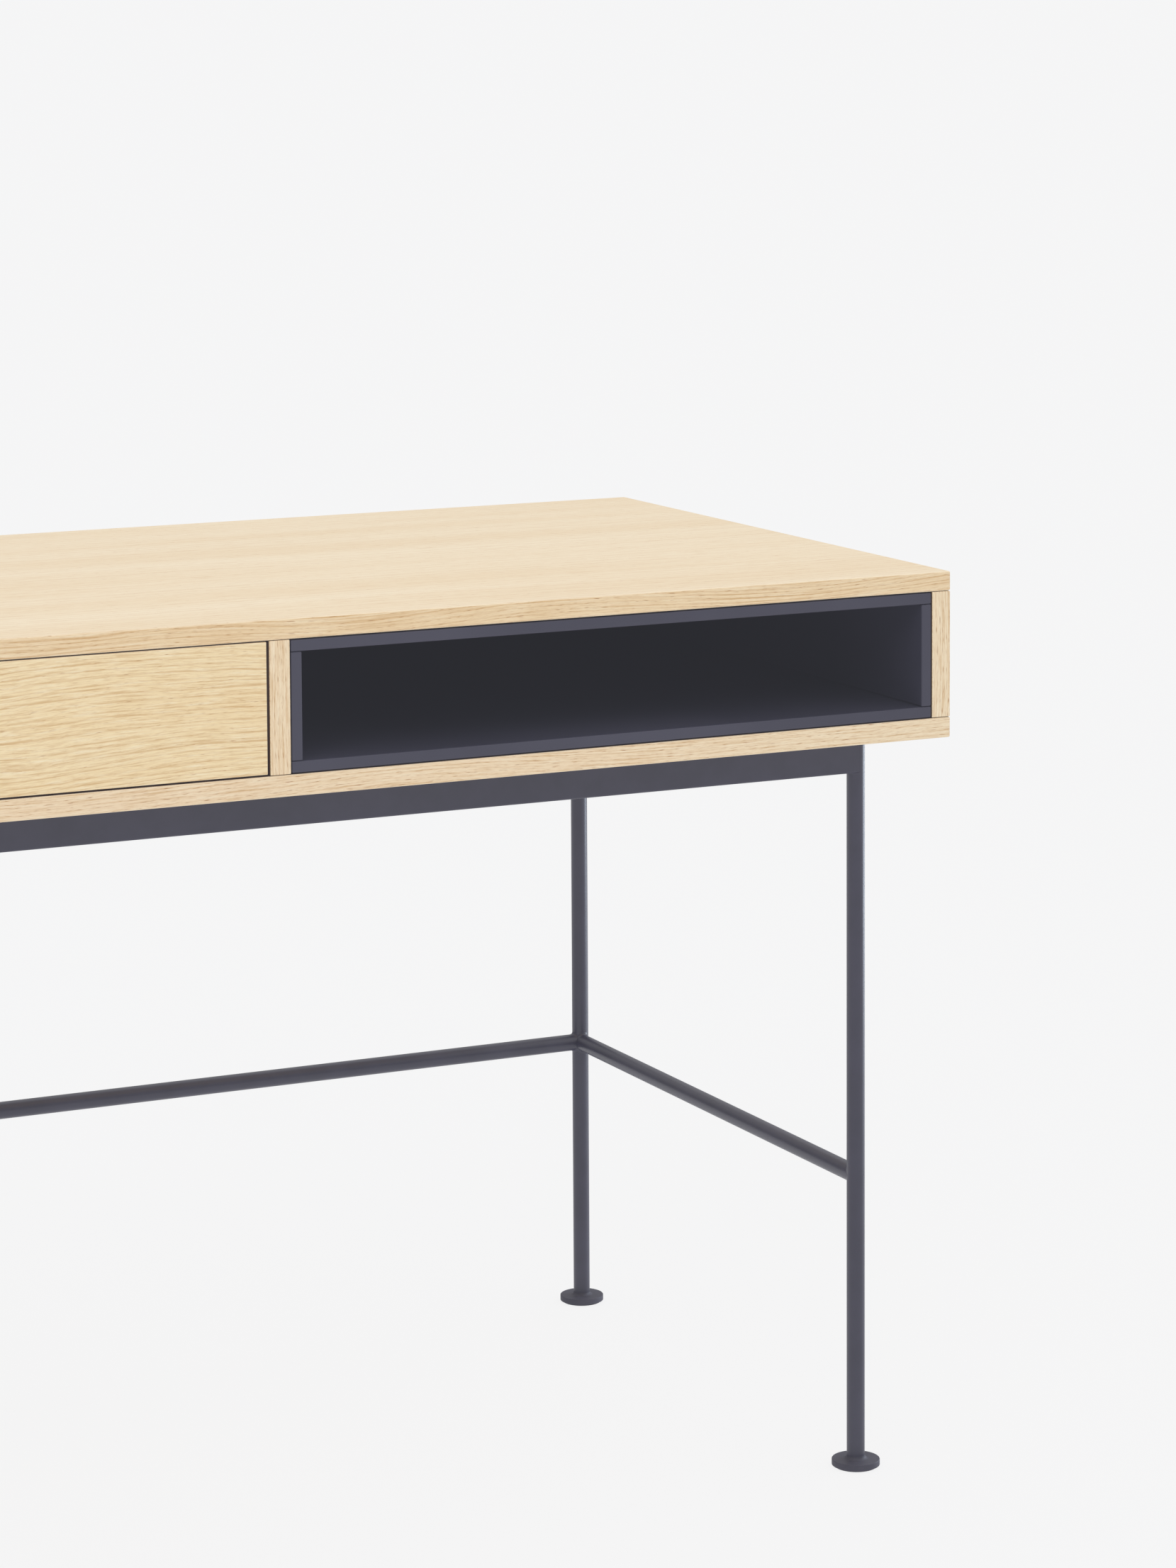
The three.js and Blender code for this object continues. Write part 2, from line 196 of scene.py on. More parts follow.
def oak_finish(name, lines, sway, contrast, pores, figure, pale, paler, runs=42):
    """Pale oak with year lines along U. lines: how many a metre; sway: how far they wander, in
    metres; contrast: how dark they are; pores: share of the dark vessel dashes that show; figure:
    strength of the streaks between the lines; pale and paler: the wood between them; runs: how many
    streaks follow one another in a metre."""
    oak = Finish(name, Specular_IOR_Level=0.35)
    grain = oak.along_grain()
    wander = oak.noise(grain, (2.6, 5, 1), 1.0) * sway
    wander += oak.noise(grain, (11, 26, 1), 1.0) * (0.1 * sway)
    bend = oak.node("ShaderNodeCombineXYZ", None, (0.0, wander, 0.0))
    bent = oak.node("ShaderNodeVectorMath", {"operation": "ADD"}, (grain, bend))
    year = oak.node("ShaderNodeSeparateXYZ", None, (bent,), output=1) * lines
    crowd = oak.noise(oak.node("ShaderNodeCombineXYZ", None, (0.0, year, 0.0)), (1, 0.45, 1), 1.0)
    season = (year + 2.4 * crowd).math("FRACT")
    early = oak.step(season, 0.0, 0.12) * oak.step(season, 0.14, 0.6, 1.0, 0.0)

    strength = oak.step(oak.noise(bent, (4, 70, 1), 2.0, shift=(4, 1, 0)), 0.3, 0.7)
    streak = oak.noise(bent, (runs, 640, 1), 2.0, 0.6, shift=(2, 6, 0))
    dash = oak.noise(bent, (120, 1500, 1), 1.0, shift=(9, 2, 0))
    fibre = oak.noise(bent, (110, 1500, 1), 2.0, 0.6)
    broad = oak.noise(bent, (1.3, 16, 1), 2.0, shift=(3, 5, 0))
    line = early * (0.3 + 0.7 * strength) * (0.4 + 0.9 * oak.step(streak, 0.35, 0.6))
    vessel = oak.step(dash, 0.64 - pores, 0.72 - pores) * (0.2 + 0.8 * early)
    heart = oak.step(dash, 0.74 - pores, 0.8 - pores) * (0.15 + 0.85 * early)

    toned = oak.mix(oak.step(broad, 0.3, 0.7), paler, pale)
    toned = oak.mix(line * contrast, toned, srgb(210, 166, 106))
    toned = oak.mix(oak.step(streak, 0.5, 0.75) * (0.6 * figure), toned, srgb(208, 165, 106))
    toned = oak.mix(oak.step(streak, 0.5, 0.25) * (0.6 * figure), toned, srgb(254, 243, 216))
    toned = oak.mix(oak.step(fibre, 0.45, 0.7) * (0.35 * figure), toned, srgb(204, 160, 102))
    toned = oak.mix(vessel * 0.55, toned, srgb(190, 136, 76))
    toned = oak.mix(heart * 0.75, toned, srgb(148, 88, 38))
    relief = oak.bump(fibre * 0.4 - vessel, 0.00004)
    oak.set(Base_Color=toned, Roughness=0.48 + 0.1 * fibre + 0.1 * vessel, Normal=relief)
    return oak.material


CREASE = math.radians(40)


def make_piece(name, bm, materials, body, replaced=()):
    """Turns a bmesh that is in its final place into a piece that rides on a CAD body."""
    mesh = bpy.data.meshes.new(name)
    bm.to_mesh(mesh)
    bm.free()
    for polygon in mesh.polygons:
        polygon.use_smooth = True
    mesh.set_sharp_from_angle(angle=CREASE)
    for material in materials:
        mesh.materials.append(material)
    piece = bpy.data.objects.new(name, mesh)
    scene.collection.objects.link(piece)
    even = piece.modifiers.new("even_shading", "WEIGHTED_NORMAL")
    even.keep_sharp = True
    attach(piece, body)
    if replaced:
        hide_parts(*replaced)


def block(low, high, arris, segments=3):
    """A board between two corners with all its arrises rounded."""
    bm = bmesh.new()
    low, high = Vector(low), Vector(high)
    stretch = Matrix.LocRotScale((low + high) / 2, None, high - low)
    bmesh.ops.create_cube(bm, size=1.0, matrix=stretch)
    bmesh.ops.bevel(bm, geom=bm.edges[:], offset=arris, segments=segments, profile=0.5,
                    affect="EDGES", material=-1)
    return bm


def lay_grain(bm, shift, inward=()):
    """Maps every face so that U, in metres, runs along the longer side of that face's own side of
    the board, shift metres along the figure and each side at a place of its own in it. The two
    broad sides take material 0, the edge bands material 1, and sides that face one of the
    directions in inward material 2, the dark brown painted shade of the bays."""
    corners = [[f(v.co[axis] for v in bm.verts) for axis in range(3)] for f in (min, max)]
    size = [high - low for low, high in zip(*corners)]
    thin = size.index(min(size))
    layer = bm.loops.layers.uv.new("grain")
    for face in bm.faces:
        facing = max(range(3), key=lambda axis: abs(face.normal[axis]))
        along, across = sorted((a for a in range(3) if a != facing), key=lambda a: -size[a])
        face.material_index = 0 if facing == thin else 1
        if any(face.normal.dot(Vector(way)) > 0.9 for way in inward):
            face.material_index = 2
        apart = shift + 0.9 * facing + (0.4 if face.normal[facing] > 0 else 0)
        for loop in face.loops:
            loop[layer].uv = (loop.vert.co[along] + apart, loop.vert.co[across] + 0.7 * apart)


ARRIS = 0.8 * MM
TOP_ARRIS = 1.4 * MM
oak_face = oak_finish("oak_face_veneer", lines=95, sway=0.04, contrast=0.2, pores=0.0, figure=0.4,
                      pale=srgb(245, 224, 190), paler=srgb(250, 233, 203))
oak_upright = oak_finish("oak_upright_veneer", lines=200, sway=0.045, contrast=0.55, pores=0.01,
                         figure=0.85, pale=srgb(249, 224, 177), paler=srgb(252, 232, 190), runs=32)
oak_band = oak_finish("oak_edge_band", lines=330, sway=0.03, contrast=0.4, pores=0.085, figure=0.8,
                      pale=srgb(247, 223, 188), paler=srgb(250, 231, 198), runs=24)
lively_band = oak_finish("oak_top_edge_band", lines=300, sway=0.04, contrast=0.6, pores=0.06,
                         figure=0.8, pale=srgb(243, 216, 174), paler=srgb(246, 222, 183), runs=16)
# Painted shade: a dark brown coat on the case sides that face the bays, darkening the gaps round the
# drawers and the niche box and the bays behind them; its mottle is random tone.
bay_shade_paint = Finish("painted_bay_shade", Specular_IOR_Level=0.2)
spot = bay_shade_paint.place()
mottle = bay_shade_paint.noise(spot, (30, 30, 30), 4.0, 0.7)
bay_shade_paint.set(
    Base_Color=bay_shade_paint.mix(mottle, srgb(96, 68, 46), srgb(112, 84, 60)),
    Roughness=0.7 + 0.1 * mottle,
    Normal=bay_shade_paint.bump(mottle, 0.00003),
)
# The sides of each board that face these directions take the dark brown painted shade of the bays.
oak_boards = {
    "top_panel": [(0, 0, -1)],
    "bottom_panel": [(0, 0, 1)],
    "left_side_panel": [(1, 0, 0)],
    "right_side_panel": [(-1, 0, 0)],
    "drawer_divider": [(-1, 0, 0), (1, 0, 0)],
    "niche_divider": [(-1, 0, 0), (1, 0, 0)],
    "back_panel": [(0, -1, 0)],
}
for count, (node, inward) in enumerate(oak_boards.items()):
    lying = node in ("top_panel", "bottom_panel")
    board = block(*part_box(node), TOP_ARRIS if lying else ARRIS)
    lay_grain(board, shift=1.37 * count, inward=inward)
    face = oak_face if lying else oak_upright
    band = lively_band if node == "top_panel" else oak_band
    make_piece(f"oak_{node}", board, [face, band, bay_shade_paint.material], "desk", [node])

# ---------------------------------------------------------------------------------------------
# Niche box. Five fibreboard panels, sprayed dark slate and butted together, pushed into the
# right-hand bay with a thin shadow gap all round.
# ---------------------------------------------------------------------------------------------

lacquer = Finish("slate_lacquer", Specular_IOR_Level=0.45)
spot = lacquer.place()
cloud = lacquer.noise(spot, (9, 9, 9), 3.0)
peel = lacquer.noise(spot, (700, 700, 700), 2.0)
lacquer.set(
    Base_Color=lacquer.mix(lacquer.step(cloud, 0.3, 0.7), srgb(57, 56, 72), srgb(64, 63, 79)),
    Roughness=0.4 + 0.12 * peel,
    Normal=lacquer.bump(peel, 0.00002),
)
SPRAYED_ARRIS = 1.1 * MM
for side in ("top", "bottom", "left", "right", "back"):
    node = f"niche_box_{side}"
    make_piece(f"slate_{node}", block(*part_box(node), SPRAYED_ARRIS), [lacquer.material],
               "desk", [node])

# ---------------------------------------------------------------------------------------------
# Drawer fronts. Oak-veneered like the case, with banded edges, flush in their openings and
# without a handle: a press opens them.
# ---------------------------------------------------------------------------------------------

FRONT_ARRIS = 0.4 * MM
for count, bay in enumerate(("left", "centre")):
    node = f"{bay}_drawer_front"
    board = block(*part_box(node), FRONT_ARRIS)
    lay_grain(board, shift=0.61 + 0.83 * count)
    make_piece(f"oak_{node}", board, [oak_upright, oak_band], f"{bay}_drawer", [node])

# ---------------------------------------------------------------------------------------------
# Drawer boxes. Birch plywood sides, back and floor, clear-lacquered, with the plies showing on
# the edges. The floor sits in grooves of the sides and the front.
# ---------------------------------------------------------------------------------------------

PLY = 1.3 * MM


def birch_finish(name, axis, start):
    """Birch plywood whose plies are stacked along axis from start."""
    birch = Finish(name, Specular_IOR_Level=0.4)
    spot = birch.place()
    across = birch.node("ShaderNodeSeparateXYZ", None, (spot,), output=axis)
    stack = (across - start) / PLY
    layer = stack.math("FLOOR")
    seam = birch.step(stack.math("PINGPONG", 0.5), 0.05, 0.14, 1.0, 0.0)
    normal = birch.node("ShaderNodeTexCoord", output=1)
    facing = birch.node("ShaderNodeSeparateXYZ", None, (normal,), output=axis)
    edge = birch.step(facing.math("ABSOLUTE"), 0.3, 0.7, 1.0, 0.0)
    crosswise = layer.math("MODULO", 2.0).math("ABSOLUTE")

    scale = [260, 18, 22] if axis == 2 else [22, 22, 260]
    figure = birch.noise(spot, scale, 3.0, 0.6)
    fleck = birch.step(birch.noise(spot, [3 * s for s in scale], 1.0), 0.6, 0.72)
    face = birch.mix(figure, srgb(233, 216, 184), srgb(219, 196, 158))
    face = birch.mix(fleck * 0.3, face, srgb(188, 158, 118))
    ply = birch.mix(crosswise, srgb(228, 206, 168), srgb(176, 142, 102))
    ply = birch.mix(seam * 0.6, ply, srgb(120, 88, 58))
    birch.set(
        Base_Color=birch.mix(edge, face, ply),
        Roughness=0.5 + 0.12 * figure + 0.15 * edge,
        Normal=birch.bump(figure - seam * edge, 0.00004),
    )
    return birch.material


def finish_node(node, materials, arris=0.3 * MM):
    """Gives a CAD node its finish, and rounds its arrises with modifiers."""
    piece = frame["nodes"][node]
    piece.data.materials.clear()
    for material in materials:
        piece.data.materials.append(material)
    weld = piece.modifiers.new("weld", "WELD")
    weld.merge_threshold = 0.01 * MM
    bevel = piece.modifiers.new("arris", "BEVEL")
    bevel.width = arris
    bevel.segments = 2
    bevel.limit_method = "ANGLE"
    bevel.angle_limit = CREASE
    even = piece.modifiers.new("even_shading", "WEIGHTED_NORMAL")
    even.keep_sharp = True


for bay in ("left", "centre"):
    for part, axis in (("left_side", 0), ("right_side", 0), ("back", 1), ("floor", 2)):
        node = f"{bay}_drawer_{part}"
        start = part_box(node)[0][axis]
        finish_node(node, [birch_finish(f"birch_{node}", axis, start)])

# ---------------------------------------------------------------------------------------------
# Drawer slides. Zinc-plated steel channels rolled from strip, screwed to the case and to the
# drawer, with a middle member that runs between them on two rows of caged balls.
# ---------------------------------------------------------------------------------------------

zinc = Finish("zinc_plate", Metallic=1.0)
spot = zinc.place()
rolled = zinc.noise(spot, (900, 12, 900), 2.0)
spangle = zinc.noise(spot, (160, 160, 160), 2.0)
zinc.set(
    Base_Color=zinc.mix(zinc.step(spangle, 0.35, 0.65), srgb(186, 190, 194), srgb(208, 211, 214)),
    Roughness=0.26 + 0.16 * rolled,
    Normal=zinc.bump(rolled, 0.00001),
)


def arc(centre_r, centre_z, radius, start, end, count=5):
    """Points of an arc in a turned outline, angles in degrees from +r towards +z."""
    angles = [math.radians(start + (end - start) * i / count) for i in range(count + 1)]
    return [(centre_r + radius * math.cos(t), centre_z + radius * math.sin(t)) for t in angles]


def turned(bm, outline, seat, out=(0, 0, 1), steps=72):
    """Adds a solid of revolution to bm and returns its vertices. outline: (radius, height) points
    that start and end on the axis; seat: where height 0 lies; out: the way height grows."""
    others = set(bm.verts)
    points = [bm.verts.new((r, 0, h)) for r, h in outline]
    edges = [bm.edges.new(pair) for pair in zip(points, points[1:])]
    bmesh.ops.spin(bm, geom=points + edges, cent=(0, 0, 0), axis=(0, 0, 1), angle=2 * math.pi,
                   steps=steps, use_merge=True)
    made = [v for v in bm.verts if v not in others]
    bmesh.ops.remove_doubles(bm, verts=made, dist=0.001 * MM)
    made = [v for v in bm.verts if v not in others]
    bmesh.ops.recalc_face_normals(bm, faces=list({face for v in made for face in v.link_faces}))
    facing = Vector(out).to_track_quat("Z", "Y")
    bmesh.ops.transform(bm, matrix=Matrix.LocRotScale(seat, facing, None), verts=made)
    return made


HEAD_RISE, SOCKET, HEAD_RIM, LOBE = 0.62, 0.48, 0.3, 0.16  # shares of a screw head's radius


def drive_screw(bm, seat, out, radius):
    """Adds a pan-head screw with a six-lobed recess, its head's underside on seat."""
    rise = HEAD_RISE * radius
    socket = SOCKET * radius
    rim = HEAD_RIM * radius
    outline = [(0, 0.3 * rise), (socket, 0.3 * rise), (socket, rise)]
    outline += [(radius - rim + r, h) for r, h in reversed(arc(0, rise - rim, rim, 0, 90))]
    outline += [(radius, 0.05 * rise), (0.96 * radius, 0), (0, 0)]
    made = turned(bm, outline, (0, 0, 0), steps=24)
    for vert in made:
        reach = vert.co.xy.length
        if abs(reach - socket) < 0.01 * MM:
            vert.co.xy *= 1 + LOBE * math.cos(6 * math.atan2(vert.co.y, vert.co.x))
    facing = Vector(out).to_track_quat("Z", "Y")
    bmesh.ops.transform(bm, matrix=Matrix.LocRotScale(seat, facing, None), verts=made)


SLIDE_STEEL = 1.2 * MM
SLIDE_ARRIS = 0.25 * MM
SLIDE_SCREW = 3.2 * MM
SCREW_SHARES = (0.07, 0.45, 0.9)  # of a member's length, from its front end
BALL = 0.78 * MM
BALLS_IN_A_ROW = 14
BALL_PITCH = 12 * MM
sides = [(bay, side) for bay in ("left", "centre") for side in ("left", "right")]
for bay, side in sides:
    slide = f"{bay}_drawer_{side}_slide"
    for member in ("case", "middle", "drawer"):
        finish_node(f"{slide}_{member}_member", [zinc.material], SLIDE_ARRIS)

    inward = Vector((1 if side == "left" else -1, 0, 0))
    case_low, case_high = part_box(f"{slide}_case_member")
    drawer_low, drawer_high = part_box(f"{slide}_drawer_member")
    height = (case_low.z + case_high.z) / 2
    case_web = (case_low if side == "left" else case_high).x + inward.x * SLIDE_STEEL
    drawer_web = (drawer_high if side == "left" else drawer_low).x - inward.x * SLIDE_STEEL
    places = [case_low.y + share * (case_high.y - case_low.y) for share in SCREW_SHARES]
    for owner, body, web, out in (("case", "desk", case_web, inward),
                                  ("drawer", f"{bay}_drawer", drawer_web, -inward)):
        bm = bmesh.new()
        for y in places:
            drive_screw(bm, (web, y, height), out, SLIDE_SCREW)
        make_piece(f"{slide}_{owner}_screws", bm, [zinc.material], body)

    bm = bmesh.new()
    middle_low, middle_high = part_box(f"{slide}_middle_member")
    middle_x = (middle_low.x + middle_high.x) / 2
    races = ((case_high.z - SLIDE_STEEL + middle_high.z) / 2,
             (case_low.z + SLIDE_STEEL + middle_low.z) / 2)
    for race in races:
        for i in range(BALLS_IN_A_ROW):
            ball_place = Matrix.Translation((middle_x, middle_low.y + (i + 1) * BALL_PITCH, race))
            bmesh.ops.create_icosphere(bm, subdivisions=1, radius=BALL, matrix=ball_place)
    make_piece(f"{slide}_balls", bm, [zinc.material], f"{bay}_drawer_{side}_runner")

# ---------------------------------------------------------------------------------------------
# Push latches. A grey moulded housing screwed to the back board, with a white sprung plunger
# that stops just short of the closed drawer.
# ---------------------------------------------------------------------------------------------


def moulded_finish(name, colour, darker):
    plastic = Finish(name, Specular_IOR_Level=0.5)
    spot = plastic.place()
    spark = plastic.noise(spot, (1400, 1400, 1400), 1.0)
    flow = plastic.noise(spot, (40, 40, 40), 2.0)
    plastic.set(
        Base_Color=plastic.mix(flow, colour, darker),
        Roughness=0.42 + 0.2 * spark,
        Normal=plastic.bump(spark, 0.00002),
    )
    return plastic.material


HOUSING_ARRIS = 0.5 * MM
FLANGE = 3 * MM
LATCH_SCREW, LATCH_SCREW_INSET = 2.4 * MM, 4.5 * MM
TIP_CROWN = 1.5 * MM
NECK = 0.82  # of the plunger's radius
NECK_START, NECK_END, NECK_SLOPE = 24 * MM, 22.5 * MM, 0.5 * MM  # before the plunger's rear end
grey_plastic = moulded_finish("grey_moulding", srgb(142, 144, 148), srgb(132, 134, 138))
white_plastic = moulded_finish("white_moulding", srgb(236, 236, 233), srgb(226, 226, 222))
for bay in ("left", "centre"):
    finish_node(f"{bay}_latch_housing", [grey_plastic], HOUSING_ARRIS)
    low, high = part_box(f"{bay}_latch_housing")
    bm = bmesh.new()
    for x in (low.x + LATCH_SCREW_INSET, high.x - LATCH_SCREW_INSET):
        drive_screw(bm, (x, high.y - FLANGE, (low.z + high.z) / 2), (0, -1, 0), LATCH_SCREW)
    make_piece(f"{bay}_latch_screws", bm, [zinc.material], "desk")

    low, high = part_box(f"{bay}_latch_plunger")
    radius = (high.x - low.x) / 2
    length = high.y - low.y
    outline = [(radius * math.sin(t), TIP_CROWN * (1 - math.cos(t)))
               for t in (0, 0.3, 0.6, 0.9, 1.2, 1.57)]
    outline += [(radius, length - NECK_START - NECK_SLOPE), (NECK * radius, length - NECK_START)]
    outline += [(NECK * radius, length - NECK_END), (radius, length - NECK_END + NECK_SLOPE)]
    outline += [(radius, length), (0, length)]
    bm = bmesh.new()
    turned(bm, outline, ((low.x + high.x) / 2, low.y, (low.z + high.z) / 2), (0, 1, 0), steps=40)
    make_piece(f"{bay}_plunger_stem", bm, [white_plastic], f"{bay}_plunger",
               [f"{bay}_latch_plunger"])

# ---------------------------------------------------------------------------------------------
# Frame tubes. Round steel tube for legs and stretchers and flat-sided tube for the rails under
# the case, welded and powder-coated dark slate with a fine orange peel.
# ---------------------------------------------------------------------------------------------

coat = Finish("slate_powder_coat", Specular_IOR_Level=0.65)
spot = coat.place()
peel = coat.noise(spot, (650, 650, 650), 2.0)
patch = coat.noise(spot, (28, 28, 28), 3.0, 0.6)
coat.set(
    Base_Color=coat.mix(coat.step(patch, 0.3, 0.7), srgb(38, 36, 56), srgb(47, 45, 65)),
    Roughness=0.3 + 0.1 * patch + 0.05 * peel,
    Normal=coat.bump(peel, 0.000015),
)


def round_bar(start, end, radius, sides=64, cap=0.4 * MM):
    """A round bar between two points, its end edges broken."""
    bm = bmesh.new()
    start, end = Vector(start), Vector(end)
    length = (end - start).length
    bmesh.ops.create_cone(bm, cap_ends=True, segments=sides, radius1=radius, radius2=radius,
                          depth=length)
    rims = [e for e in bm.edges if abs(e.verts[0].co.z - e.verts[1].co.z) < length / 2]
    bmesh.ops.bevel(bm, geom=rims, offset=cap, segments=2, profile=0.5, affect="EDGES", material=-1)
    turn = (end - start).to_track_quat("Z", "Y").to_matrix().to_4x4()
    bmesh.ops.transform(bm, matrix=Matrix.Translation((start + end) / 2) @ turn, verts=bm.verts)
    return bm


corner_names = [f"{y}_{x}" for y in ("front", "rear") for x in ("left", "right")]
leg_axis = {}
for corner in corner_names:
    low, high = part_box(f"{corner}_leg")
    middle = (low + high) / 2
    leg_axis[corner] = middle
    leg_radius = (high.x - low.x) / 2
    bar = round_bar((middle.x, middle.y, low.z), (middle.x, middle.y, high.z), leg_radius)
    make_piece(f"{corner}_leg_tube", bar, [coat.material],
               "desk", [f"{corner}_leg"])

stretchers = {
    "rear_stretcher": ("rear_left", "rear_right"),
    "right_stretcher": ("front_right", "rear_right"),
    "left_stretcher": ("front_left", "rear_left"),
}
stretcher_low, stretcher_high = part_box("rear_stretcher")
stretcher_z = (stretcher_low.z + stretcher_high.z) / 2
for node, (first, last) in stretchers.items():
    ends = [Vector((leg_axis[c].x, leg_axis[c].y, stretcher_z)) for c in (first, last)]
    make_piece(f"{node}_tube", round_bar(*ends, leg_radius), [coat.material],
               "desk", [node])

RAIL_EDGE = 1.5 * MM
rails = {"front_rail": ("front_left", "front_right"), "rear_rail": ("rear_left", "rear_right"),
         "left_rail": ("front_left", "rear_left"), "right_rail": ("front_right", "rear_right")}
for node, (first, last) in rails.items():
    low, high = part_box(node)
    a, b = leg_axis[first], leg_axis[last]
    runs_across = abs(b.x - a.x) > abs(b.y - a.y)
    sideways = Vector((0, leg_radius, 0) if runs_across else (leg_radius, 0, 0))
    rail_low = Vector((a.x, a.y, low.z)) - sideways
    rail_high = Vector((b.x, b.y, high.z)) + sideways
    make_piece(f"{node}_tube", block(rail_low, rail_high, RAIL_EDGE, 4), [coat.material],
               "desk", [node])

# ---------------------------------------------------------------------------------------------
# Screw lugs. Flat steel ears welded inside the rails, coated with them, and the zinc-plated
# screws that hold the case down on the frame.
# ---------------------------------------------------------------------------------------------

LUG_REACH, LUG_WIDTH, LUG_THICKNESS = 26 * MM, 22 * MM, 3 * MM
LUG_ROUND, LUG_EDGE = 0.42 * LUG_WIDTH, 0.4 * MM
FRAME_SCREW = 4.6 * MM
frame_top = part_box("front_left_leg")[1].z
lug_shares = {"front_rail": (1 / 6, 1 / 2, 5 / 6), "rear_rail": (1 / 6, 1 / 2, 5 / 6),
              "left_rail": (1 / 2,), "right_rail": (1 / 2,)}
screws = bmesh.new()
for node, (first, last) in rails.items():
    a, b = (Vector((leg_axis[c].x, leg_axis[c].y, frame_top)) for c in (first, last))
    along = (b - a).normalized()
    inward = along.cross(Vector((0, 0, 1)))
    if inward.dot(-(a + b) / 2) < 0:
        inward.negate()
    frame_turn = Matrix((along, inward, along.cross(inward))).transposed().to_quaternion()
    for count, share in enumerate(lug_shares[node]):
        root = a.lerp(b, share) + inward * leg_radius
        bm = bmesh.new()
        size = Vector((LUG_WIDTH, LUG_REACH, LUG_THICKNESS))
        stretch = Matrix.LocRotScale((0, LUG_REACH / 2, 0), None, size)
        bmesh.ops.create_cube(bm, size=1.0, matrix=stretch)
        corners = [e for e in bm.edges if all(v.co.y > LUG_REACH / 2 for v in e.verts)
                   and abs(e.verts[0].co.z - e.verts[1].co.z) > LUG_THICKNESS / 2]
        bmesh.ops.bevel(bm, geom=corners, offset=LUG_ROUND, segments=8, profile=0.5,
                        affect="EDGES", material=-1)
        rims = [e for e in bm.edges if abs(e.verts[0].co.z - e.verts[1].co.z) < LUG_THICKNESS / 2]
        bmesh.ops.bevel(bm, geom=rims, offset=LUG_EDGE, segments=2, profile=0.5,
                        affect="EDGES", material=-1)
        middle = root - Vector((0, 0, LUG_THICKNESS / 2))
        placed = Matrix.LocRotScale(middle, frame_turn, None)
        bmesh.ops.transform(bm, matrix=placed, verts=bm.verts)
        make_piece(f"{node}_lug_{count + 1}", bm, [coat.material], "desk")
        seat = root + inward * (LUG_REACH - LUG_WIDTH / 2) - Vector((0, 0, LUG_THICKNESS))
        drive_screw(screws, seat, (0, 0, -1), FRAME_SCREW)
make_piece("frame_screws", screws, [zinc.material], "desk")

# ---------------------------------------------------------------------------------------------
# Feet. A turned steel disc welded under each leg with a small flare of weld and coated a little
# more matt than the tubes, and a felt pad glued below it.
# ---------------------------------------------------------------------------------------------

felt = Finish("pressed_felt", Roughness=0.95, Specular_IOR_Level=0.2, Sheen_Weight=0.3)
spot = felt.place()
hairs = felt.noise(spot, (1500, 1500, 900), 3.0, 0.7)
felt.set(
    Base_Color=felt.mix(hairs, srgb(44, 44, 48), srgb(84, 84, 90)),
    Normal=felt.bump(hairs, 0.0003),
)
matt_coat = Finish("slate_foot_coat", Specular_IOR_Level=0.4)
spot = matt_coat.place()
peel = matt_coat.noise(spot, (800, 800, 800), 3.0, 0.6)
patch = matt_coat.noise(spot, (60, 60, 60), 2.0)
matt_coat.set(
    Base_Color=matt_coat.mix(matt_coat.step(patch, 0.3, 0.7), srgb(57, 55, 68), srgb(64, 62, 75)),
    Roughness=0.55 + 0.15 * peel,
    Normal=matt_coat.bump(peel, 0.00003),
)
FOOT_EDGE = 0.6 * MM
FLARE = 3.2 * MM
for corner, axis in leg_axis.items():
    low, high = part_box(f"{corner}_foot")
    radius = (high.x - low.x) / 2
    outline = [(0, low.z)]
    outline += arc(radius - FOOT_EDGE / 2, low.z + FOOT_EDGE / 2, FOOT_EDGE / 2, -90, 0)
    outline += arc(radius - FOOT_EDGE, high.z - FOOT_EDGE, FOOT_EDGE, 0, 90)
    outline += arc(leg_radius + FLARE, high.z + FLARE, FLARE, 270, 180, 8)
    outline += [(0, high.z + FLARE)]
    bm = bmesh.new()
    turned(bm, outline, (axis.x, axis.y, 0))
    make_piece(f"{corner}_foot_disc", bm, [matt_coat.material],
               "desk", [f"{corner}_foot"])

    low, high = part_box(f"{corner}_pad")
    radius = (high.x - low.x) / 2
    bulge = (high.z - low.z) / 2
    outline = [(0, low.z), *arc(radius - bulge, low.z + bulge, bulge, -90, 90, 8), (0, high.z)]
    bm = bmesh.new()
    turned(bm, outline, (axis.x, axis.y, 0))
    make_piece(f"{corner}_felt_pad", bm, [felt.material], "desk", [f"{corner}_pad"])

# ---------------------------------------------------------------------------------------------
# Welds. A small concave fillet in the crease round every joint of tube on tube and under the
# corners of the rails, coated with the frame. It fades out where the tubes run tangent.
# ---------------------------------------------------------------------------------------------


def weld_fillet(name, rings):
    """A ring-shaped piece through closed rings of points, each bridged to the next one and the
    last to the first."""
    bm = bmesh.new()
    loops = []
    for ring in rings:
        verts = [bm.verts.new(point) for point in ring]
        loops.append([bm.edges.new(pair) for pair in zip(verts, verts[1:] + verts[:1])])
    for loop, following in zip(loops, loops[1:] + loops[:1]):
        bmesh.ops.bridge_loops(bm, edges=loop + following)
    bmesh.ops.recalc_face_normals(bm, faces=bm.faces)
    make_piece(name, bm, [coat.material], "desk")


